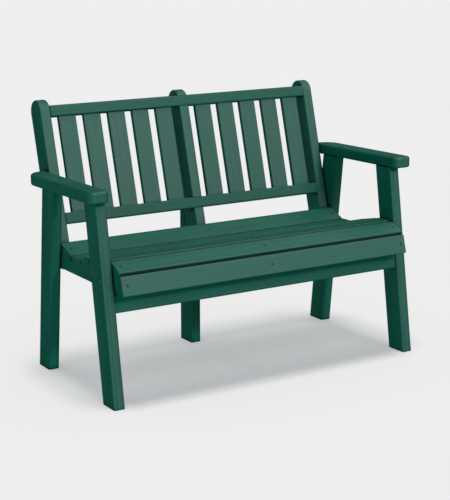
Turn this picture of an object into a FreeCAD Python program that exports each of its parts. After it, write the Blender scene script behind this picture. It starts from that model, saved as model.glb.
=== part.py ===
import FreeCAD, Part
import math
import os

# Garden bench with a seat about four feet long, bolted and screwed together from dressed boards.
# Millimetres. +X runs along the bench, +Y from front to back, +Z up.
# The origin is on the floor, under the middle of the bench's length and depth.
#
# Side-view positions are written as (depth, height): depth is measured back from the
# front toe of the front legs, height from the floor.

V = FreeCAD.Vector

# Stock sizes
BOARD_WIDTH = 90.0
BOARD_THICKNESS = 42.0
BOARD_EDGE = 6.0
SLAT_WIDTH = 70.0
WIDE_SLAT_WIDTH = 90.0
SLAT_THICKNESS = 19.0
SLAT_EDGE = 3.5
END_EDGE = 1.5
RAIL_SIZE = 42.0
HALF_BOARD = BOARD_THICKNESS / 2

# Overall layout
SEAT_LENGTH = 1200.0
HALF_SEAT = SEAT_LENGTH / 2
BACK_LEAN = 15.0
BACK_FOOT_DEPTH = 370.5
FRONT_LEG_LEAN = 8.2
REAR_LEG_LEAN = -7.5
CENTRE_LEG_LEAN = -1.2
REAR_LEG_FOOT_DEPTH = 545.5
CENTRE_LEG_FOOT_DEPTH = 558.2
SUPPORT_UNDERSIDE = 395.0
SIDE_POSITIONS = (("left", -1), ("right", 1))

# Back panel, measured along the lean of the back from floor level
POST_LENGTH_TO_TOP = 1040.0
LOWER_RAIL_BOTTOM = 572.3
UPPER_RAIL_BOTTOM = 970.2
RAIL_BOTTOMS = (LOWER_RAIL_BOTTOM, UPPER_RAIL_BOTTOM)
SLATS_PER_PANEL = 5
GROOVE_DEPTH = 10.0
GROOVE_CLEARANCE = 0.3
SLAT_END_GAP = 0.5
SLAT_SETBACK = 8.0

# Seat slats from back to front: rear top edge (depth, height), fall to the front, width
SEAT_SLATS = (
    ((490.8, 493.0), 20.5, WIDE_SLAT_WIDTH),
    ((401.0, 460.5), 0.0, SLAT_WIDTH),
    ((327.0, 464.5), -16.0, SLAT_WIDTH),
    ((246.0, 486.0), -12.0, SLAT_WIDTH),
    ((165.5, 503.0), -1.5, SLAT_WIDTH),
    ((82.0, 503.5), 23.2, SLAT_WIDTH),
)
NOSE_TOP = (9.5, 464.6)
NOSE_LEAN = 15.0

# Front stretcher and armrests
STRETCHER_SETBACK = 8.0
STRETCHER_HEIGHT = 70.0
STRETCHER_BOTTOM = 325.5
ARMREST_WIDTH = 78.0
ARMREST_FRONT = 65.5
ARMREST_BACK = 607.0
ARMREST_FRONT_CORNER = 23.0
ARMREST_REAR_CORNER = 64.0
ARMREST_EDGE = 9.0
ARMREST_FALL = 0.7
ARMREST_LEVEL_DEPTH = 100.0
ARMREST_UNDERSIDE = 707.2

# Fasteners
SCREW_HEAD = 8.0
SCREW_HEAD_HEIGHT = 3.0
SCREW_SHANK = 4.5
SCREW_RECESS = 1.5
SCREW_TIP = 0.4
SCREW_TIP_LENGTH = 5.0
SCREW_SOCKET = 1.6
SCREW_SOCKET_DEPTH = 1.4
SCREW_CLEARANCE = 0.5
SLAT_SCREW = 45.0
NOTCH_SCREW = 75.0
RAIL_END_SCREW = 80.0
STRETCHER_SCREW = 90.0
CENTRE_LEG_SCREW = 110.0
SUPPORT_SCREW = 130.0
SUPPORT_SCREW_HEIGHTS = (424.0, 452.0)
CENTRE_LEG_SCREW_HEIGHTS = (440.0, 520.0)
MIDDLE_SCREW_OFFSET = 10.5
BOLT_SHANK = 8.0
BOLT_HEAD = 16.0
BOLT_HEAD_HEIGHT = 3.5
BOLT_HEAD_RIM = 1.0
BOLT_RUN_OUT = 5.0
FRONT_BOLT_HEIGHTS = (440.0, 430.0)
FRONT_BOLT_SPACING = 56.0
FRONT_BOLT_MIDDLE = 436.0
REAR_LEG_BOLTS = ((508.0, 409.0), (551.0, 432.0))
WASHER = 20.0
WASHER_HEIGHT = 1.6
NUT_ACROSS = 13.0
NUT_HEIGHT = 6.5
DOWEL = 12.0
DOWEL_REACH = 28.0
DOWEL_SPACING = 48.0
DOWEL_END_GAP = 1.0

# Further than any part of the bench, for shapes that only cut or trim
FAR = 2000.0
SAME = 0.01


def sin(angle):
    return math.sin(math.radians(angle))


def cos(angle):
    return math.cos(math.radians(angle))


def tan(angle):
    return math.tan(math.radians(angle))


def overall_depth_middle():
    # Halfway between the front edge of the nose board and the back of the post tops.
    nose_toe = NOSE_TOP[0] - SLAT_WIDTH * sin(NOSE_LEAN)
    nose_front = nose_toe + SLAT_EDGE * (sin(NOSE_LEAN) + cos(NOSE_LEAN) - 1)
    radius = BOARD_WIDTH / 2
    along = POST_LENGTH_TO_TOP - radius
    post_back = BACK_FOOT_DEPTH + along * sin(BACK_LEAN) + radius * cos(BACK_LEAN) + radius
    return (nose_front + post_back) / 2


DEPTH_MIDDLE = overall_depth_middle()


def at(x, depth, height):
    return V(x, depth - DEPTH_MIDDLE, height)


def direction(depth, height):
    return V(0, depth, height)


def place(shape, middle, axis, across):
    # Local X becomes axis, local Y becomes across, local Z their cross product.
    normal = axis.cross(across)
    matrix = FreeCAD.Matrix(
        axis.x, across.x, normal.x, middle.x,
        axis.y, across.y, normal.y, middle.y,
        axis.z, across.z, normal.z, middle.z,
        0, 0, 0, 1)
    placed = shape.copy()
    placed.Placement = FreeCAD.Placement(matrix).multiply(shape.Placement)
    return placed


def plain_board(length, width, thickness):
    # Box centred on the origin with its length along X.
    corner = V(-length / 2, -width / 2, -thickness / 2)
    return Part.makeBox(length, width, thickness, corner)


def eased_board(length, width, thickness, edge, end_edge):
    # Centred board with rounded long edges and, where asked, slightly eased ends.
    board = plain_board(length, width, thickness)
    long_edges = [line for line in board.Edges if line.BoundBox.XLength > length / 2]
    board = board.makeFillet(edge, long_edges)
    if end_edge > 0:
        ends = []
        for face in board.Faces:
            if face.BoundBox.XLength < SAME:
                ends.extend(face.Edges)
        board = board.makeFillet(end_edge, ends)
    return board


def side_profile(points, x_start, thickness):
    # Closed outline in the side view, extruded along +X.
    outline = [at(x_start, depth, height) for depth, height in points]
    outline.append(outline[0])
    face = Part.Face(Part.makePolygon(outline))
    return face.extrude(V(thickness, 0, 0))


def cylinder(start, axis, radius, length):
    return Part.makeCylinder(radius, length, start, axis)


def back_point(x, along, inward):
    # Point on the leaning back: along the lean from floor level, inward from its front plane.
    depth = BACK_FOOT_DEPTH + along * sin(BACK_LEAN) + inward * cos(BACK_LEAN)
    height = along * cos(BACK_LEAN) - inward * sin(BACK_LEAN)
    return at(x, depth, height)


BACK_UP = direction(sin(BACK_LEAN), cos(BACK_LEAN))
BACK_INWARD = direction(cos(BACK_LEAN), -sin(BACK_LEAN))


def back_front_depth(height):
    return BACK_FOOT_DEPTH + height * tan(BACK_LEAN)


def back_rear_depth(height):
    return back_front_depth(height) + BOARD_WIDTH / cos(BACK_LEAN)


def side_start(side):
    # Low-X face of the 42 mm layer that holds a side post and a side seat support.
    if side < 0:
        return -HALF_SEAT
    if side > 0:
        return HALF_SEAT - BOARD_THICKNESS
    return -HALF_BOARD


def leg_start(side):
    if side < 0:
        return -HALF_SEAT - BOARD_THICKNESS
    if side > 0:
        return HALF_SEAT
    return -HALF_BOARD


# Legs

def armrest_underside(depth):
    # The armrests fall very slightly towards the back.
    return ARMREST_UNDERSIDE - (depth - ARMREST_LEVEL_DEPTH) * tan(ARMREST_FALL)


def leaning_leg(x_start, foot_depth, lean, keep):
    # Board leaning back by lean degrees, trimmed to the side-view outline keep.
    highest = max(height for depth, height in keep)
    length = highest / cos(lean) + 2 * BOARD_WIDTH
    stick = eased_board(length, BOARD_WIDTH, BOARD_THICKNESS, BOARD_EDGE, 0)
    upward = direction(sin(lean), cos(lean))
    forward = direction(-cos(lean), sin(lean))
    heel = at(x_start + HALF_BOARD, foot_depth + BOARD_WIDTH / cos(lean), 0)
    middle = heel + upward * (length / 2 - BOARD_WIDTH) + forward * (BOARD_WIDTH / 2)
    stick = place(stick, middle, upward, forward)
    return stick.common(side_profile(keep, x_start - SAME, BOARD_THICKNESS + 2 * SAME))


def under_armrest():
    # Everything between the floor and the underside of an armrest.
    return ((-FAR, 0), (FAR, 0), (FAR, armrest_underside(FAR)), (-FAR, armrest_underside(-FAR)))


def front_leg_depth(height):
    return height * tan(FRONT_LEG_LEAN)


def front_leg_bolts():
    # Side-view centres of the two bolts through each front leg.
    middle = front_leg_depth(FRONT_BOLT_MIDDLE) + BOARD_WIDTH / cos(FRONT_LEG_LEAN) / 2
    reach = FRONT_BOLT_SPACING / 2
    return ((middle - reach, FRONT_BOLT_HEIGHTS[0]), (middle + reach, FRONT_BOLT_HEIGHTS[1]))


def front_leg(side):
    leg = leaning_leg(leg_start(side), 0.0, FRONT_LEG_LEAN, under_armrest())
    leg = leg.cut(bolt_holes(side, front_leg_bolts()))
    leg = leg.cut(dowel_holes(side, front_leg_dowels()))
    return leg.cut(stretcher_screw_holes(side))


def rear_leg(side):
    leg = leaning_leg(leg_start(side), REAR_LEG_FOOT_DEPTH, REAR_LEG_LEAN, under_armrest())
    leg = leg.cut(bolt_holes(side, REAR_LEG_BOLTS))
    return leg.cut(dowel_holes(side, rear_leg_dowels()))


def centre_rear_leg():
    # Upright leg bevelled to lie against the back edge of the middle post.
    top = LOWER_RAIL_BOTTOM * cos(BACK_LEAN) + RAIL_SIZE
    behind_post = ((back_rear_depth(0), 0), (FAR, 0), (FAR, top), (back_rear_depth(top), top))
    leg = leaning_leg(leg_start(0), CENTRE_LEG_FOOT_DEPTH, CENTRE_LEG_LEAN, behind_post)
    return leg.cut(centre_leg_screw_holes())


# Seat

def seat_slat_frame(rear_top, fall):
    # Rear top corner, the way across the slat to the front, and square up from its face.
    forward = direction(-cos(fall), -sin(fall))
    upward = direction(-sin(fall), cos(fall))
    return at(0, rear_top[0], rear_top[1]), forward, upward


def nose_frame():
    down = direction(-sin(NOSE_LEAN), -cos(NOSE_LEAN))
    outward = direction(-cos(NOSE_LEAN), sin(NOSE_LEAN))
    return at(0, NOSE_TOP[0], NOSE_TOP[1]), down, outward


def flat_board(corner, run, outward, width):
    # Seat-length board whose outer face starts at corner and spreads along run.
    board = eased_board(SEAT_LENGTH, width, SLAT_THICKNESS, SLAT_EDGE, END_EDGE)
    middle = corner - outward * (SLAT_THICKNESS / 2) + run * (width / 2)
    return place(board, middle, V(1, 0, 0), run)


def support_middles():
    return [side_start(side) + HALF_BOARD for side in (-1, 0, 1)]


def slat_screw_points(corner, run, width):
    centre_line = corner + run * (width / 2)
    return [V(x, centre_line.y, centre_line.z) for x in support_middles()]


def countersunk_hole(point, outward):
    inward = outward * -1
    recess = cylinder(point, inward, SCREW_HEAD / 2 + SCREW_CLEARANCE, SCREW_RECESS + SCREW_HEAD_HEIGHT)
    pilot = cylinder(point, inward, SCREW_SHANK / 2, SLAT_THICKNESS + SCREW_CLEARANCE)
    return recess.fuse(pilot)


def wood_screw(point, outward, length):
    # Screw with a flat countersunk head sunk a little below the surface.
    inward = outward * -1
    top = point + inward * SCREW_RECESS
    straight = length - SCREW_TIP_LENGTH
    head = Part.makeCone(SCREW_HEAD / 2, SCREW_SHANK / 2, SCREW_HEAD_HEIGHT, top, inward)
    shank = cylinder(top, inward, SCREW_SHANK / 2, straight)
    tip = Part.makeCone(SCREW_SHANK / 2, SCREW_TIP, SCREW_TIP_LENGTH, top + inward * straight, inward)
    socket = cylinder(top, inward, SCREW_SOCKET, SCREW_SOCKET_DEPTH)
    return head.fuse(shank).fuse(tip).cut(socket).removeSplitter()


def seat_slat(rear_top, fall, width):
    corner, forward, upward = seat_slat_frame(rear_top, fall)
    board = flat_board(corner, forward, upward, width)
    for point in slat_screw_points(corner, forward, width):
        board = board.cut(countersunk_hole(point, upward))
    return board


def seat_screws():
    screws = []
    for rear_top, fall, width in SEAT_SLATS:
        corner, forward, upward = seat_slat_frame(rear_top, fall)
        for point in slat_screw_points(corner, forward, width):
            screws.append(wood_screw(point, upward, SLAT_SCREW))
    return screws


def nose_board():
    corner, down, outward = nose_frame()
    board = flat_board(corner, down, outward, SLAT_WIDTH)
    for point in slat_screw_points(corner, down, SLAT_WIDTH):
        board = board.cut(countersunk_hole(point, outward))
    return board


def nose_screws():
    corner, down, outward = nose_frame()
    points = slat_screw_points(corner, down, SLAT_WIDTH)
    return [wood_screw(point, outward, SLAT_SCREW) for point in points]


def line_crossing(point_a, run_a, point_b, run_b):
    # Where two side-view lines, each a point and a direction, cross.
    cross = run_a[0] * run_b[1] - run_a[1] * run_b[0]
    offset = (point_b[0] - point_a[0], point_b[1] - point_a[1])
    reach = (offset[0] * run_b[1] - offset[1] * run_b[0]) / cross
    return (point_a[0] + run_a[0] * reach, point_a[1] + run_a[1] * reach)


def slat_underside(rear_top, fall):
    point = (rear_top[0] + SLAT_THICKNESS * sin(fall), rear_top[1] - SLAT_THICKNESS * cos(fall))
    return point, (-cos(fall), -sin(fall))


def support_outline():
    # Board on edge whose top is cut to carry every seat slat flat on its underside.
    nose_back = (
        NOSE_TOP[0] + SLAT_THICKNESS * cos(NOSE_LEAN),
        NOSE_TOP[1] - SLAT_THICKNESS * sin(NOSE_LEAN))
    lines = [((back_front_depth(0), 0), (sin(BACK_LEAN), cos(BACK_LEAN)))]
    lines.extend(slat_underside(rear_top, fall) for rear_top, fall, width in SEAT_SLATS)
    lines.append((nose_back, (-sin(NOSE_LEAN), -cos(NOSE_LEAN))))
    lines.append(((0, SUPPORT_UNDERSIDE), (1, 0)))
    outline = []
    for line, following in zip(lines, lines[1:] + lines[:1]):
        outline.append(line_crossing(line[0], line[1], following[0], following[1]))
    return outline


def seat_support(side):
    support = side_profile(support_outline(), side_start(side), BOARD_THICKNESS)
    lower = []
    for line in support.Edges:
        span = line.BoundBox
        runs_along_the_side = span.ZLength < SAME and span.XLength < SAME
        if runs_along_the_side and abs(span.ZMin - SUPPORT_UNDERSIDE) < SAME:
            lower.append(line)
    support = support.makeFillet(BOARD_EDGE, lower)
    within = support.BoundBox
    for screw in seat_screws() + nose_screws() + support_screws_at(side):
        if within.intersect(screw.BoundBox):
            support = support.cut(screw)
    if side != 0:
        support = support.cut(bolt_holes(side, front_leg_bolts()))
    return support


# Back

def post_outline_solid(side):
    # Straight board with a half-round top and a level cut at the bottom.
    radius = BOARD_WIDTH / 2
    x_start = side_start(side)
    shoulder = POST_LENGTH_TO_TOP - radius
    base = SUPPORT_UNDERSIDE / 2
    front_low = back_point(x_start, base, 0)
    front_high = back_point(x_start, shoulder, 0)
    crown = back_point(x_start, POST_LENGTH_TO_TOP, radius)
    rear_high = back_point(x_start, shoulder, BOARD_WIDTH)
    rear_low = back_point(x_start, base, BOARD_WIDTH)
    edges = [
        Part.makeLine(front_low, front_high),
        Part.Arc(front_high, crown, rear_high).toShape(),
        Part.makeLine(rear_high, rear_low),
        Part.makeLine(rear_low, front_low)]
    face = Part.Face(Part.Wire(edges))
    post = face.extrude(V(BOARD_THICKNESS, 0, 0))
    rounded = []
    for line in post.Edges:
        span = line.BoundBox
        outline_edge = span.XLength < SAME
        if outline_edge and span.ZLength > radius:
            rounded.append(line)
        elif outline_edge and span.ZMax > crown.z - 1:
            rounded.append(line)
    post = post.makeFillet(BOARD_EDGE, rounded)
    floor_to_underside = ((-FAR, 0), (FAR, 0), (FAR, SUPPORT_UNDERSIDE), (-FAR, SUPPORT_UNDERSIDE))
    return post.cut(side_profile(floor_to_underside, -FAR, 2 * FAR))


def across_back(shape, bottom):
    # Centred shape laid along the rail whose underside is at bottom.
    middle = back_point(0, bottom + RAIL_SIZE / 2, RAIL_SIZE / 2)
    return place(shape, middle, V(1, 0, 0), BACK_INWARD)


def back_post(side):
    post = post_outline_solid(side)
    if side == 0:
        for bottom in RAIL_BOTTOMS:
            post = post.cut(across_back(plain_board(SEAT_LENGTH, RAIL_SIZE, RAIL_SIZE), bottom))
        post = post.cut(centre_leg_screw_holes())
    else:
        post = post.cut(bolt_holes(side, REAR_LEG_BOLTS))
    post = post.cut(Part.makeCompound(rail_screws_at(side)))
    return post.cut(Part.makeCompound(support_screws_at(side)))


def rail_span():
    return HALF_SEAT - BOARD_THICKNESS


def back_rail(bottom, groove_on_top):
    # Square rail between the side posts with a groove for the slat ends.
    length = 2 * rail_span()
    rail = across_back(eased_board(length, RAIL_SIZE, RAIL_SIZE, BOARD_EDGE, 0), bottom)
    groove_middle = bottom + GROOVE_DEPTH / 2
    if groove_on_top:
        groove_middle = bottom + RAIL_SIZE - GROOVE_DEPTH / 2
    groove = plain_board(length, SLAT_THICKNESS + 2 * GROOVE_CLEARANCE, GROOVE_DEPTH)
    slat_middle = SLAT_SETBACK + SLAT_THICKNESS / 2
    groove = place(groove, back_point(0, groove_middle, slat_middle), V(1, 0, 0), BACK_INWARD)
    rail = rail.cut(groove)
    for side in (-1, 0, 1):
        rail = rail.cut(Part.makeCompound(rail_screws_at(side)))
    return rail


def back_slat_starts():
    # Low-X edge of each back slat, left panel first.
    opening = rail_span() - HALF_BOARD
    gap = (opening - SLATS_PER_PANEL * SLAT_WIDTH) / (SLATS_PER_PANEL + 1)
    starts = []
    for panel_start in (-rail_span(), HALF_BOARD):
        for index in range(SLATS_PER_PANEL):
            starts.append(panel_start + gap + index * (SLAT_WIDTH + gap))
    return starts


def back_slat(x_start):
    seat = GROOVE_DEPTH - SLAT_END_GAP
    low = LOWER_RAIL_BOTTOM + RAIL_SIZE - seat
    high = UPPER_RAIL_BOTTOM + seat
    slat = eased_board(high - low, SLAT_WIDTH, SLAT_THICKNESS, SLAT_EDGE, 0)
    middle = back_point(x_start + SLAT_WIDTH / 2, (low + high) / 2, SLAT_SETBACK + SLAT_THICKNESS / 2)
    return place(slat, middle, BACK_UP, V(1, 0, 0))


def rail_screws_at(side):
    # Screws from the outer face of a side post into each rail end, or from the back of
    # the middle post into the rail lying in its notch.
    screws = []
    for bottom in RAIL_BOTTOMS:
        along = bottom + RAIL_SIZE / 2
        if side == 0:
            point = back_point(0, along, BOARD_WIDTH)
            screws.append(wood_screw(point, BACK_INWARD, NOTCH_SCREW))
        else:
            point = back_point(side * HALF_SEAT, along, SLAT_SETBACK + SLAT_THICKNESS + SCREW_HEAD)
            screws.append(wood_screw(point, V(side, 0, 0), RAIL_END_SCREW))
    return screws


def support_screws_at(side):
    # Two long screws from the back of a post into the end grain of a seat support.
    # The middle pair sits to one side, clear of the screws that hold the centre leg.
    x = side_start(side) + HALF_BOARD
    if side == 0:
        x = MIDDLE_SCREW_OFFSET
    screws = []
    for height in SUPPORT_SCREW_HEIGHTS:
        point = back_point(x, height / cos(BACK_LEAN), BOARD_WIDTH)
        screws.append(wood_screw(point, BACK_INWARD, SUPPORT_SCREW))
    return screws


def centre_leg_screws():
    # Two level screws from the back edge of the centre leg into the middle post.
    screws = []
    for height in CENTRE_LEG_SCREW_HEIGHTS:
        depth = CENTRE_LEG_FOOT_DEPTH + height * tan(CENTRE_LEG_LEAN)
        depth += BOARD_WIDTH / cos(CENTRE_LEG_LEAN)
        point = at(-MIDDLE_SCREW_OFFSET, depth, height)
        screws.append(wood_screw(point, direction(1, 0), CENTRE_LEG_SCREW))
    return screws


def centre_leg_screw_holes():
    return Part.makeCompound(centre_leg_screws())


# Front stretcher and armrests

def stretcher_point(x, up, inward):
    # Point on the stretcher, which leans with the front legs just behind their front faces.
    depth = front_leg_depth(STRETCHER_BOTTOM) + STRETCHER_SETBACK
    depth += up * sin(FRONT_LEG_LEAN) + inward * cos(FRONT_LEG_LEAN)
    height = STRETCHER_BOTTOM + up * cos(FRONT_LEG_LEAN) - inward * sin(FRONT_LEG_LEAN)
    return at(x, depth, height)


def front_stretcher():
    inward = direction(cos(FRONT_LEG_LEAN), -sin(FRONT_LEG_LEAN))
    board = eased_board(SEAT_LENGTH, BOARD_THICKNESS, STRETCHER_HEIGHT, BOARD_EDGE, 0)
    middle = stretcher_point(0, STRETCHER_HEIGHT / 2, HALF_BOARD)
    board = place(board, middle, V(1, 0, 0), inward)
    for side in (-1, 1):
        board = board.cut(stretcher_screw_holes(side))
    return board


def stretcher_screws_at(side):
    screws = []
    outer = side * (HALF_SEAT + BOARD_THICKNESS)
    for share in (0.25, 0.75):
        point = stretcher_point(outer, share * STRETCHER_HEIGHT, HALF_BOARD)
        screws.append(wood_screw(point, V(side, 0, 0), STRETCHER_SCREW))
    return screws


def stretcher_screw_holes(side):
    return Part.makeCompound(stretcher_screws_at(side))


def armrest(side):
    # Flat board with rounded corners, the outer back one much more than the front ones.
    length = ARMREST_BACK - ARMREST_FRONT
    inner = side * HALF_SEAT
    x_low = min(inner, inner + side * ARMREST_WIDTH)
    corner = at(x_low, ARMREST_FRONT, ARMREST_UNDERSIDE)
    arm = Part.makeBox(ARMREST_WIDTH, length, BOARD_THICKNESS, corner)
    corners = [line for line in arm.Edges if line.BoundBox.ZLength > BOARD_THICKNESS / 2]
    front_corners = [line for line in corners if line.BoundBox.YMax < at(0, ARMREST_FRONT + 1, 0).y]
    arm = arm.makeFillet(ARMREST_FRONT_CORNER, front_corners)
    rear_corner = [
        line for line in arm.Edges
        if line.BoundBox.ZLength > BOARD_THICKNESS / 2
        and line.BoundBox.YMin > at(0, ARMREST_BACK - 1, 0).y
        and abs(line.BoundBox.XMax - inner) > 1]
    arm = arm.makeFillet(ARMREST_REAR_CORNER, rear_corner)
    rims = [line for line in arm.Edges if line.BoundBox.ZLength < SAME]
    arm = arm.makeFillet(ARMREST_EDGE, rims)
    arm.rotate(at(0, ARMREST_LEVEL_DEPTH, ARMREST_UNDERSIDE), V(1, 0, 0), -ARMREST_FALL)
    return arm.cut(dowel_holes(side, front_leg_dowels() + rear_leg_dowels()))


def front_leg_dowels():
    middle = front_leg_depth(ARMREST_UNDERSIDE) + BOARD_WIDTH / cos(FRONT_LEG_LEAN) / 2
    return (middle - DOWEL_SPACING / 2, middle + DOWEL_SPACING / 2)


def rear_leg_dowels():
    front = REAR_LEG_FOOT_DEPTH + ARMREST_UNDERSIDE * tan(REAR_LEG_LEAN)
    middle = front + BOARD_WIDTH / cos(REAR_LEG_LEAN) / 2
    return (middle - DOWEL_SPACING / 2, middle + DOWEL_SPACING / 2)


def dowel_pins(side, depths, reach, radius):
    x = side * (HALF_SEAT + HALF_BOARD)
    pins = []
    for depth in depths:
        start = at(x, depth, armrest_underside(depth) - reach)
        pins.append(cylinder(start, V(0, 0, 1), radius, 2 * reach))
    return pins


def dowel_holes(side, depths):
    return Part.makeCompound(dowel_pins(side, depths, DOWEL_REACH + DOWEL_END_GAP, DOWEL / 2))


def armrest_dowels():
    pins = []
    for name, side in SIDE_POSITIONS:
        pins.extend(dowel_pins(side, front_leg_dowels() + rear_leg_dowels(), DOWEL_REACH, DOWEL / 2))
    return pins


# Frame bolts: heads on the outer faces of the legs, nuts on the inner faces

def bolt_holes(side, centres):
    holes = []
    outer = side * (HALF_SEAT + BOARD_THICKNESS + BOLT_RUN_OUT)
    length = 2 * BOARD_THICKNESS + 2 * BOLT_RUN_OUT
    for depth, height in centres:
        start = at(outer, depth, height)
        holes.append(cylinder(start, V(-side, 0, 0), BOLT_SHANK / 2, length))
    return Part.makeCompound(holes)


def frame_bolt(side, depth, height):
    outer = at(side * (HALF_SEAT + BOARD_THICKNESS), depth, height)
    outward = V(side, 0, 0)
    head = cylinder(outer, outward, BOLT_HEAD / 2, BOLT_HEAD_HEIGHT)
    crown = abs(outer.x) + BOLT_HEAD_HEIGHT
    rim = [line for line in head.Edges if abs(abs(line.BoundBox.XMin) - crown) < SAME]
    head = head.makeFillet(BOLT_HEAD_HEIGHT - BOLT_HEAD_RIM, rim)
    grip = 2 * BOARD_THICKNESS + WASHER_HEIGHT + NUT_HEIGHT + BOLT_RUN_OUT / 2
    shank = cylinder(outer, outward * -1, BOLT_SHANK / 2, grip)
    return head.fuse(shank).removeSplitter()


def bolt_nut(side, depth, height):
    inner = at(side * (HALF_SEAT - BOARD_THICKNESS), depth, height)
    inward = V(-side, 0, 0)
    washer = cylinder(inner, inward, WASHER / 2, WASHER_HEIGHT)
    corner = NUT_ACROSS / 2 / cos(30)
    outline = []
    for index in range(7):
        turn = 60.0 * index
        outline.append(inner + V(0, corner * cos(turn), corner * sin(turn)) + inward * WASHER_HEIGHT)
    nut = Part.Face(Part.makePolygon(outline)).extrude(inward * NUT_HEIGHT)
    bore = cylinder(inner, inward, BOLT_SHANK / 2, WASHER_HEIGHT + NUT_HEIGHT)
    return washer.fuse(nut).cut(bore).removeSplitter()


def all_bolts(make):
    made = []
    for name, side in SIDE_POSITIONS:
        for depth, height in front_leg_bolts() + REAR_LEG_BOLTS:
            made.append(make(side, depth, height))
    return made


def export(name, shapes):
    solids = []
    for shape in shapes:
        solids.extend(shape.Solids)
    whole = solids[0]
    if len(solids) > 1:
        whole = Part.makeCompound(solids)
    for solid in solids:
        if not solid.isValid():
            raise ValueError(name + " is not a valid solid")
    whole.exportStep(os.path.join("parts", name + ".step"))
    span = whole.BoundBox
    print(name, len(solids), "x %.1f %.1f" % (span.XMin, span.XMax),
          "y %.1f %.1f" % (span.YMin, span.YMax), "z %.1f %.1f" % (span.ZMin, span.ZMax))


def main():
    os.makedirs("parts", exist_ok=True)
    for name, side in SIDE_POSITIONS:
        export(name + "_front_leg", [front_leg(side)])
        export(name + "_rear_leg", [rear_leg(side)])
        export(name + "_armrest", [armrest(side)])
    export("centre_rear_leg", [centre_rear_leg()])
    for name, side in SIDE_POSITIONS + (("centre", 0),):
        export(name + "_seat_support", [seat_support(side)])
        export(name + "_back_post", [back_post(side)])
    export("bottom_back_rail", [back_rail(LOWER_RAIL_BOTTOM, True)])
    export("top_back_rail", [back_rail(UPPER_RAIL_BOTTOM, False)])
    for index, x_start in enumerate(back_slat_starts()):
        export("back_slat_%02d" % (index + 1), [back_slat(x_start)])
    for index, (rear_top, fall, width) in enumerate(SEAT_SLATS):
        export("seat_slat_%d" % (index + 1), [seat_slat(rear_top, fall, width)])
    export("seat_nose_board", [nose_board()])
    export("front_stretcher", [front_stretcher()])
    export("seat_screws", seat_screws())
    export("nose_board_screws", nose_screws())
    export("rail_screws", rail_screws_at(-1) + rail_screws_at(0) + rail_screws_at(1))
    export("support_screws", support_screws_at(-1) + support_screws_at(0) + support_screws_at(1))
    export("centre_leg_screws", centre_leg_screws())
    export("stretcher_screws", stretcher_screws_at(-1) + stretcher_screws_at(1))
    export("armrest_dowels", armrest_dowels())
    export("frame_bolts", all_bolts(frame_bolt))
    export("frame_nuts", all_bolts(bolt_nut))


main()
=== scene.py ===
import math
import random

import bpy
from mathutils import Matrix, Vector


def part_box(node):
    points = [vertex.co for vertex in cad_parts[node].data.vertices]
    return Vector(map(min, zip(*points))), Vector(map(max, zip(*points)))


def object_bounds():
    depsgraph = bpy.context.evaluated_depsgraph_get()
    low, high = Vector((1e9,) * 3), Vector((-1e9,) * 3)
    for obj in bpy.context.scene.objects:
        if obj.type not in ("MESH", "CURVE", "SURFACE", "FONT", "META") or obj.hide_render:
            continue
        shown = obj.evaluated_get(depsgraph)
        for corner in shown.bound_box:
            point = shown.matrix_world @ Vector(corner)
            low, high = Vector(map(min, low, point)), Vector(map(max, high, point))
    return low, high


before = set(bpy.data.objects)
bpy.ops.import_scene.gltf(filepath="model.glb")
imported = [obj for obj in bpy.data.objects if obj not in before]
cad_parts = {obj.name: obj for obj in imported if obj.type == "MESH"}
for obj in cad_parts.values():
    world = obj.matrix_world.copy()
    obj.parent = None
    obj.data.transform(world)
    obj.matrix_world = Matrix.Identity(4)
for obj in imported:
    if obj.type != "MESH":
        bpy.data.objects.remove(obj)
cad_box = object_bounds()

# Directions the boards run in, as degrees that each leans back from upright.
BACK_LEAN = 15.0
FRONT_LEG_LEAN = 8.2
REAR_LEG_LEAN = -7.5
CENTRE_LEG_LEAN = -1.2

# Real scale of the surface detail, in metres.
RING_SPACING = 0.0052
FIBRE_WIDTH = 0.0007
FIBRE_LENGTH = 0.045
BRUSH_WIDTH = 0.0035
BRUSH_LENGTH = 0.30
PATCH_SIZE = 0.11
SPECK_SIZE = 0.0016
WORN_AND_HIGHLIT_EDGE = 0.003
METAL_EDGE = 0.0008
METAL_MOTTLE = 0.004
METAL_FINE = 0.0006

# Growth rings. The wave texture turns through WAVE_RATE radians for each unit of its scale.
WAVE_RATE = 20
RING_STRETCH = 6.0
RING_DISTORTION = 3.5
RING_DETAIL = 2.0
RING_DETAIL_SCALE = 0.12
PATCH_STRETCH = 3
PITH_ALONG = 2.0
PITH_ASIDE = 0.03
PITH_BELOW = (0.02, 0.08)

# How far a bevelled normal has turned where the paler edge band begins and where it is complete; on the
# boards that band is worn paint and painted highlight.
EDGE_BEGINS = 0.995
EDGE_FULL = 0.88
BEVEL_SAMPLES = 4
SHELTER_SAMPLES = 6

# Roughness of the paint, and what wear, rings and dust take from it or add to it.
PAINT_ROUGHNESS = (0.50, 0.60)
WORN_POLISH = 0.06
RING_DULLING = 0.08
DUST_DULLING = 0.45

# Relief of the surface.
FIBRE_RELIEF = 0.5
RING_RELIEF = 0.5
BRUSH_RELIEF = 0.6
SPECK_RELIEF = 0.25
PAINT_BUMP = (0.5, 0.0008)
METAL_BUMP = (0.3, 0.0001)

# Paint, as linear colours.
PAINT = (0.0003, 0.111, 0.0725, 1)
PAINT_PALE = (0.003, 0.136, 0.091, 1)
PAINT_DEEP = (0.0001, 0.084, 0.0540, 1)
# Painted shade: a near-black green for the gaps and corners between boards.
PAINTED_CREVICE_SHADE = (0.0002, 0.012, 0.009, 1)
CREVICE_DEPTH = 0.018
SPECULAR = 0.13
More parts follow.
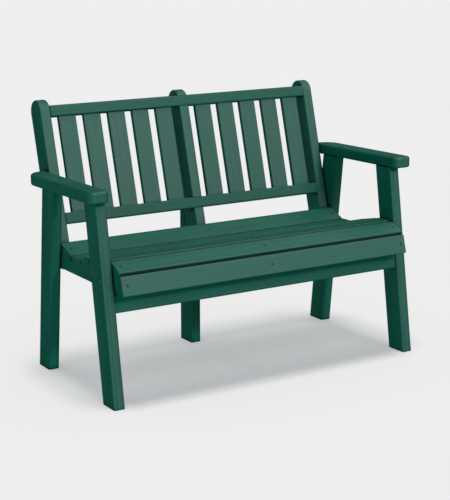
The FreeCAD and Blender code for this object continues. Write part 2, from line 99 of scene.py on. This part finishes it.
# Less sheen on the rails, stretcher and rear legs: on the stretcher and rear legs this is painted shade
# from the seat and nose board above them.
SHADED_AND_DULL_SPECULAR = 0.08
SHADED_AND_DULL_BOARDS = ("rail", "stretcher", "rear_leg")
STEEL = (0.40, 0.41, 0.40, 1)
STEEL_DULL = (0.20, 0.21, 0.20, 1)
# Screw heads, coloured near-black green as painted shade of the recesses they sit in.
SHADED_SCREW_LIGHT = (0.012, 0.028, 0.022, 1)
SHADED_SCREW_DARK = (0.003, 0.012, 0.009, 1)
HARDWOOD = (0.36, 0.20, 0.09, 1)
HARDWOOD_DARK = (0.22, 0.11, 0.045, 1)

# Camera: seen from the left of the bench's front, a little above it.
VIEW_AZIMUTH = -30.911
VIEW_ELEVATION = 12.927
VIEW_ROLL = -0.654
VIEW_DISTANCE = 5.198
VIEW_TARGET_OFFSET = Vector((0.004, -0.0205, -0.079))
LENS = 99.04
SENSOR_WIDTH = 36.0
VIEW_REACH = 200.0

shuffle = random.Random(11)


class Nodes:
    """Short calls for building a node tree."""

    def __init__(self, tree):
        self.tree = tree

    def add(self, kind, **settings):
        node = self.tree.nodes.new(kind)
        for name, value in settings.items():
            setattr(node, name, value)
        return node

    def join(self, source, target):
        self.tree.links.new(source, target)

    def math(self, operation, first, second):
        node = self.add("ShaderNodeMath", operation=operation)
        for socket, value in zip(node.inputs, (first, second)):
            if isinstance(value, (int, float)):
                socket.default_value = value
            else:
                self.join(value, socket)
        return node.outputs[0]

    def stretched(self, vector, along, across):
        """Coordinates counted in detail lengths along the board and widths across it."""
        node = self.add("ShaderNodeVectorMath", operation="MULTIPLY")
        self.join(vector, node.inputs[0])
        node.inputs[1].default_value = (1 / along, 1 / across, 1 / across)
        return node.outputs[0]

    def noise(self, vector, detail=3.0, roughness=0.55, distortion=0.0):
        node = self.add("ShaderNodeTexNoise")
        self.join(vector, node.inputs["Vector"])
        node.inputs["Scale"].default_value = 1.0
        node.inputs["Detail"].default_value = detail
        node.inputs["Roughness"].default_value = roughness
        node.inputs["Distortion"].default_value = distortion
        return node.outputs["Fac"]

    def ramp(self, value, low, high, start=0.0, end=1.0):
        node = self.add("ShaderNodeMapRange", interpolation_type="SMOOTHSTEP")
        self.join(value, node.inputs["Value"])
        node.inputs["From Min"].default_value = low
        node.inputs["From Max"].default_value = high
        node.inputs["To Min"].default_value = start
        node.inputs["To Max"].default_value = end
        return node.outputs["Result"]

    def blend(self, factor, first, second):
        node = self.add("ShaderNodeMix", data_type="RGBA")
        self.join(factor, node.inputs["Factor"])
        colour_inputs = [s for s in node.inputs if s.type == "RGBA"]
        for socket, value in zip(colour_inputs, (first, second)):
            if isinstance(value, tuple):
                socket.default_value = value
            else:
                self.join(value, socket)
        return [s for s in node.outputs if s.type == "RGBA"][0]

    def bump(self, height, strength, distance):
        node = self.add("ShaderNodeBump")
        node.inputs["Strength"].default_value = strength
        node.inputs["Distance"].default_value = distance
        self.join(height, node.inputs["Height"])
        return node.outputs["Normal"]


def edge_mask(nodes, radius):
    """1 on outer edges, 0 on flat faces: how far a bevelled normal turns from the true one."""
    bevel = nodes.add("ShaderNodeBevel", samples=BEVEL_SAMPLES)
    bevel.inputs["Radius"].default_value = radius
    surface = nodes.add("ShaderNodeNewGeometry")
    turn = nodes.add("ShaderNodeVectorMath", operation="DOT_PRODUCT")
    nodes.join(bevel.outputs["Normal"], turn.inputs[0])
    nodes.join(surface.outputs["Normal"], turn.inputs[1])
    return nodes.ramp(turn.outputs["Value"], EDGE_BEGINS, EDGE_FULL)


def painted_timber_group():
    """Exterior paint over dressed softwood. In: board coordinates, X along the grain."""
    tree = bpy.data.node_groups.new("painted_timber", "ShaderNodeTree")
    tree.interface.new_socket("Vector", in_out="INPUT", socket_type="NodeSocketVector")
    tree.interface.new_socket("Color", in_out="OUTPUT", socket_type="NodeSocketColor")
    tree.interface.new_socket("Roughness", in_out="OUTPUT", socket_type="NodeSocketFloat")
    tree.interface.new_socket("Normal", in_out="OUTPUT", socket_type="NodeSocketVector")
    nodes = Nodes(tree)
    vector = nodes.add("NodeGroupInput").outputs["Vector"]
    result = nodes.add("NodeGroupOutput")

    rings = nodes.add("ShaderNodeTexWave", wave_type="RINGS", rings_direction="X")
    nodes.join(nodes.stretched(vector, RING_STRETCH, 1.0), rings.inputs["Vector"])
    rings.inputs["Scale"].default_value = 2 * math.pi / WAVE_RATE / RING_SPACING
    rings.inputs["Distortion"].default_value = RING_DISTORTION
    rings.inputs["Detail"].default_value = RING_DETAIL
    rings.inputs["Detail Scale"].default_value = RING_DETAIL_SCALE
    grain = rings.outputs["Fac"]
    fibres = nodes.noise(nodes.stretched(vector, FIBRE_LENGTH, FIBRE_WIDTH), 2.0)
    brush = nodes.noise(nodes.stretched(vector, BRUSH_LENGTH, BRUSH_WIDTH), 2.0)
    patches = nodes.noise(nodes.stretched(vector, PATCH_SIZE * PATCH_STRETCH, PATCH_SIZE), 3.0)
    specks = nodes.noise(nodes.stretched(vector, SPECK_SIZE, SPECK_SIZE), 1.0)
    edges = edge_mask(nodes, WORN_AND_HIGHLIT_EDGE)

    streaks = nodes.math("ADD", nodes.math("MULTIPLY", fibres, 0.6), nodes.math("MULTIPLY", grain, 0.4))
    tone = nodes.blend(nodes.ramp(patches, 0.3, 0.7), PAINT_DEEP, PAINT)
    tone = nodes.blend(nodes.ramp(streaks, 0.35, 0.75, 0.0, 0.8), tone, PAINT_PALE)
    tone = nodes.blend(nodes.ramp(brush, 0.5, 0.75, 0.0, 0.6), tone, PAINT_DEEP)
    # Paler paint on the edges, where the specks allow: partly worn paint, partly a painted highlight on
    # the rounded edges.
    worn_and_highlit_edges = nodes.math("MULTIPLY", edges, nodes.ramp(specks, 0.35, 0.6, 0.25, 0.9))
    tone = nodes.blend(worn_and_highlit_edges, tone, PAINT_PALE)
    # Painted shade: the paint darkens towards near-black green where ambient occlusion finds gaps and
    # corners.
    shelter = nodes.add("ShaderNodeAmbientOcclusion", samples=SHELTER_SAMPLES)
    shelter.inputs["Distance"].default_value = CREVICE_DEPTH
    open_air = shelter.outputs["AO"]
    tone = nodes.blend(nodes.ramp(open_air, 0.35, 0.9), PAINTED_CREVICE_SHADE, tone)
    nodes.join(tone, result.inputs["Color"])

    shine = nodes.ramp(patches, 0.25, 0.75, *PAINT_ROUGHNESS)
    shine = nodes.math("SUBTRACT", shine, nodes.math("MULTIPLY", worn_and_highlit_edges, WORN_POLISH))
    shine = nodes.math("ADD", shine, nodes.math("MULTIPLY", grain, RING_DULLING))
    dusty = nodes.ramp(open_air, 0.75, 0.35, 0.0, DUST_DULLING)
    nodes.join(nodes.math("ADD", shine, dusty), result.inputs["Roughness"])

    fibre_height = nodes.math("MULTIPLY", fibres, FIBRE_RELIEF)
    height = nodes.math("ADD", fibre_height, nodes.math("MULTIPLY", grain, RING_RELIEF))
    height = nodes.math("ADD", height, nodes.math("MULTIPLY", brush, BRUSH_RELIEF))
    height = nodes.math("ADD", height, nodes.math("MULTIPLY", specks, SPECK_RELIEF))
    nodes.join(nodes.bump(height, *PAINT_BUMP), result.inputs["Normal"])
    return tree


TIMBER = painted_timber_group()


def new_material(name):
    material = bpy.data.materials.new(name)
    material.use_nodes = True
    nodes = Nodes(material.node_tree)
    shader = material.node_tree.nodes["Principled BSDF"]
    shader.inputs["Specular IOR Level"].default_value = SPECULAR
    return material, nodes, shader


def painted_board(name, middle, turn):
    """Painted timber whose grain runs along the board and whose growth rings are its own."""
    material, nodes, shader = new_material("paint_" + name)
    # Less sheen on these boards: painted shade on the stretcher and rear legs.
    if name.endswith(SHADED_AND_DULL_BOARDS):
        shader.inputs["Specular IOR Level"].default_value = SHADED_AND_DULL_SPECULAR
    place = nodes.add("ShaderNodeTexCoord")
    mapping = nodes.add("ShaderNodeMapping", vector_type="TEXTURE")
    along = shuffle.uniform(-PITH_ALONG, PITH_ALONG)
    aside = shuffle.uniform(-PITH_ASIDE, PITH_ASIDE)
    below = shuffle.uniform(*PITH_BELOW)
    pith = Vector((along, aside, below))
    mapping.inputs["Location"].default_value = middle + turn @ pith
    mapping.inputs["Rotation"].default_value = turn.to_euler()
    nodes.join(place.outputs["Object"], mapping.inputs["Vector"])
    group = nodes.add("ShaderNodeGroup", node_tree=TIMBER)
    nodes.join(mapping.outputs["Vector"], group.inputs["Vector"])
    nodes.join(group.outputs["Color"], shader.inputs["Base Color"])
    nodes.join(group.outputs["Roughness"], shader.inputs["Roughness"])
    nodes.join(group.outputs["Normal"], shader.inputs["Normal"])
    return material


def metal(name, light, dark, metallic, roughness):
    """Plated or painted steel with a mottled finish and a fine-grained surface."""
    material, nodes, shader = new_material(name)
    place = nodes.add("ShaderNodeTexCoord").outputs["Object"]
    mottle = nodes.noise(nodes.stretched(place, METAL_MOTTLE, METAL_MOTTLE), 4.0)
    fine = nodes.noise(nodes.stretched(place, METAL_FINE, METAL_FINE), 2.0)
    edges = edge_mask(nodes, METAL_EDGE)
    tone = nodes.blend(nodes.ramp(mottle, 0.35, 0.65), dark, light)
    tone = nodes.blend(nodes.math("MULTIPLY", edges, 0.5), tone, light)
    nodes.join(tone, shader.inputs["Base Color"])
    nodes.join(nodes.ramp(fine, 0.3, 0.7, roughness - 0.08, roughness + 0.10), shader.inputs["Roughness"])
    shader.inputs["Metallic"].default_value = metallic
    nodes.join(nodes.bump(fine, *METAL_BUMP), shader.inputs["Normal"])
    return material


def bare_hardwood():
    material, nodes, shader = new_material("bare_hardwood")
    place = nodes.add("ShaderNodeTexCoord").outputs["Object"]
    upright = nodes.add("ShaderNodeVectorMath", operation="MULTIPLY")
    nodes.join(place, upright.inputs[0])
    upright.inputs[1].default_value = (1 / FIBRE_WIDTH, 1 / FIBRE_WIDTH, 1 / FIBRE_LENGTH)
    fibres = nodes.noise(upright.outputs[0], 3.0)
    nodes.join(nodes.blend(fibres, HARDWOOD_DARK, HARDWOOD), shader.inputs["Base Color"])
    nodes.join(nodes.ramp(fibres, 0.3, 0.7, 0.65, 0.8), shader.inputs["Roughness"])
    return material


def along_x():
    return Matrix.Identity(3)


def along_y():
    return Matrix.Rotation(math.radians(90), 3, "Z")


def leaning(degrees):
    """Grain runs up the board, which leans back by that many degrees."""
    lean = math.radians(degrees)
    up = Vector((0, math.sin(lean), math.cos(lean)))
    side = Vector((1, 0, 0))
    return Matrix((up, side, up.cross(side))).transposed()


def board_directions():
    """Every painted board and the direction its grain runs in."""
    found = {}
    for side in ("left", "right"):
        found[side + "_front_leg"] = leaning(FRONT_LEG_LEAN)
        found[side + "_rear_leg"] = leaning(REAR_LEG_LEAN)
        found[side + "_armrest"] = along_y()
    found["centre_rear_leg"] = leaning(CENTRE_LEG_LEAN)
    for side in ("left", "centre", "right"):
        found[side + "_seat_support"] = along_y()
        found[side + "_back_post"] = leaning(BACK_LEAN)
    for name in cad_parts:
        if name.startswith("back_slat"):
            found[name] = leaning(BACK_LEAN)
        elif name.startswith("seat_slat"):
            found[name] = along_x()
    for name in ("seat_nose_board", "bottom_back_rail", "top_back_rail", "front_stretcher"):
        found[name] = along_x()
    return found


def dress(name, material):
    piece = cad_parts[name]
    piece.data.materials.clear()
    piece.data.materials.append(material)


def dress_boards():
    for name, turn in sorted(board_directions().items()):
        low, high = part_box(name)
        dress(name, painted_board(name, (low + high) / 2, turn))


def dress_fasteners():
    paint_on_steel = metal("painted_steel", PAINT_PALE, PAINT_DEEP, 0.0, 0.42)
    plated = metal("plated_steel", STEEL, STEEL_DULL, 1.0, 0.45)
    # The screw colours are painted shade of their recesses.
    recessed = metal("recessed_screw_in_painted_shade", SHADED_SCREW_LIGHT, SHADED_SCREW_DARK, 0.0, 0.6)
    dress("frame_bolts", paint_on_steel)
    dress("frame_nuts", plated)
    for name in sorted(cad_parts):
        if name.endswith("screws"):
            dress(name, recessed)
    dress("armrest_dowels", bare_hardwood())


# Floor, lights, world and camera. Azimuth 0 is the bench's front and 90 its right, in degrees.
# A lamp's size is its width in degrees as the bench sees it.

FLOOR_SIZE = 60.0
FLOOR_COLOUR = (0.80, 0.80, 0.80, 1)
FLOOR_GLOW = (0.350, 0.358, 0.367, 1)
WORLD_LIGHT = (0.240, 0.245, 0.252, 1)
BACKDROP = (0.855, 0.855, 0.855, 1)
KEY_AZIMUTH = 7.0
KEY_ELEVATION = 28.0
KEY_STRENGTH = 0.88
KEY_SIZE = 5.0
KEY_COLOUR = (1.0, 1.03, 1.12)
SHEEN_AZIMUTH = 12.0
SHEEN_ELEVATION = 36.0
SHEEN_STRENGTH = 12.0
SHEEN_SIZE = 30.0
SHEEN_COLOUR = (1.0, 1.02, 1.06)
FILL_AZIMUTH = -75.0
FILL_ELEVATION = 22.0
FILL_STRENGTH = 0.35
FILL_SIZE = 20.0
RIM_AZIMUTH = 95.0
RIM_ELEVATION = 50.0
RIM_STRENGTH = 2.2
RIM_SIZE = 40.0
TOP_STRENGTH = 1.0
TABLE_LAMP_STRENGTH = 1.27
TABLE_LAMP_COLOUR = (1.0, 0.95, 0.90)
TOP_SIZE = 16.0
TOP_TILT = 1.0
HORIZON = 0.02


def make_floor():
    half = FLOOR_SIZE / 2
    mesh = bpy.data.meshes.new("floor")
    corners = [(-half, -half, 0), (half, -half, 0), (half, half, 0), (-half, half, 0)]
    mesh.from_pydata(corners, [], [(0, 1, 2, 3)])
    floor = bpy.data.objects.new("floor", mesh)
    bpy.context.scene.collection.objects.link(floor)
    material, nodes, shader = new_material("lit_table")
    shader.inputs["Base Color"].default_value = FLOOR_COLOUR
    shader.inputs["Roughness"].default_value = 1.0
    shader.inputs["IOR"].default_value = 1.0
    shader.inputs["Emission Color"].default_value = FLOOR_GLOW
    shader.inputs["Emission Strength"].default_value = 1.0
    mesh.materials.append(material)
    floor.visible_glossy = False
    return floor


def direction_to(azimuth, elevation):
    """From the bench towards a place seen at that azimuth (0 is the front, 90 the right)."""
    a = math.radians(azimuth)
    e = math.radians(elevation)
    return Vector((math.sin(a) * math.cos(e), -math.cos(a) * math.cos(e), math.sin(e)))


def sun(name, towards, strength, size, colour=(1, 1, 1)):
    data = bpy.data.lights.new(name, "SUN")
    data.energy = strength
    data.angle = math.radians(size)
    data.color = colour
    lamp = bpy.data.objects.new(name, data)
    lamp.rotation_mode = "QUATERNION"
    lamp.rotation_quaternion = towards.to_track_quat("Z", "Y")
    bpy.context.scene.collection.objects.link(lamp)
    return lamp


def lights_only(lamp, pieces):
    """Lets a lamp light those pieces alone. Every piece still casts its shadow."""
    lit = bpy.data.collections.new(lamp.name + "_lights")
    for piece in pieces:
        lit.objects.link(piece)
    lamp.light_linking.receiver_collection = lit


def make_lights(floor):
    """Five lamps for the bench, two of them only sheen and one without any, and one for the floor."""
    bench = [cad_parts[name] for name in sorted(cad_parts)]
    overhead = direction_to(0, 90 - TOP_TILT)
    key_place = direction_to(KEY_AZIMUTH, KEY_ELEVATION)
    key = sun("key_light", key_place, KEY_STRENGTH, KEY_SIZE, KEY_COLOUR)
    top = sun("top_light", overhead, TOP_STRENGTH, TOP_SIZE)
    fill = sun("fill_light", direction_to(FILL_AZIMUTH, FILL_ELEVATION), FILL_STRENGTH, FILL_SIZE)
    sheen_place = direction_to(SHEEN_AZIMUTH, SHEEN_ELEVATION)
    sheen = sun("sheen_light", sheen_place, SHEEN_STRENGTH, SHEEN_SIZE, SHEEN_COLOUR)
    rim = sun("rim_light", direction_to(RIM_AZIMUTH, RIM_ELEVATION), RIM_STRENGTH, RIM_SIZE)
    fill.visible_glossy = False
    sheen.visible_diffuse = False
    rim.visible_diffuse = False
    for lamp in (key, top, fill, sheen, rim):
        lights_only(lamp, bench)
    table = sun("table_light", overhead, TABLE_LAMP_STRENGTH, TOP_SIZE, TABLE_LAMP_COLOUR)
    lights_only(table, [floor])


def make_world():
    world = bpy.data.worlds.new("studio")
    world.use_nodes = True
    nodes = Nodes(world.node_tree)
    background = world.node_tree.nodes["Background"]
    place = nodes.add("ShaderNodeTexCoord")
    split = nodes.add("ShaderNodeSeparateXYZ")
    nodes.join(place.outputs["Generated"], split.inputs[0])
    above = nodes.ramp(split.outputs["Z"], -HORIZON, HORIZON)
    light = nodes.blend(above, (0, 0, 0, 1), WORLD_LIGHT)
    path = nodes.add("ShaderNodeLightPath")
    nodes.join(nodes.blend(path.outputs["Is Camera Ray"], light, BACKDROP), background.inputs["Color"])
    background.inputs["Strength"].default_value = 1.0
    world.cycles_visibility.glossy = False
    bpy.context.scene.world = world


def make_camera():
    data = bpy.data.cameras.new("camera")
    data.lens = LENS
    data.sensor_width = SENSOR_WIDTH
    data.clip_end = VIEW_REACH
    camera = bpy.data.objects.new("camera", data)
    back = direction_to(VIEW_AZIMUTH, VIEW_ELEVATION)
    target = (cad_box[0] + cad_box[1]) / 2 + VIEW_TARGET_OFFSET
    aim = back.to_track_quat("Z", "Y").to_matrix()
    roll = Matrix.Rotation(math.radians(VIEW_ROLL), 3, "Z")
    camera.matrix_world = Matrix.Translation(target + back * VIEW_DISTANCE) @ (aim @ roll).to_4x4()
    bpy.context.scene.collection.objects.link(camera)
    bpy.context.scene.camera = camera


dress_boards()
dress_fasteners()
make_lights(make_floor())
make_world()
make_camera()
bpy.context.scene.view_settings.view_transform = "Standard"
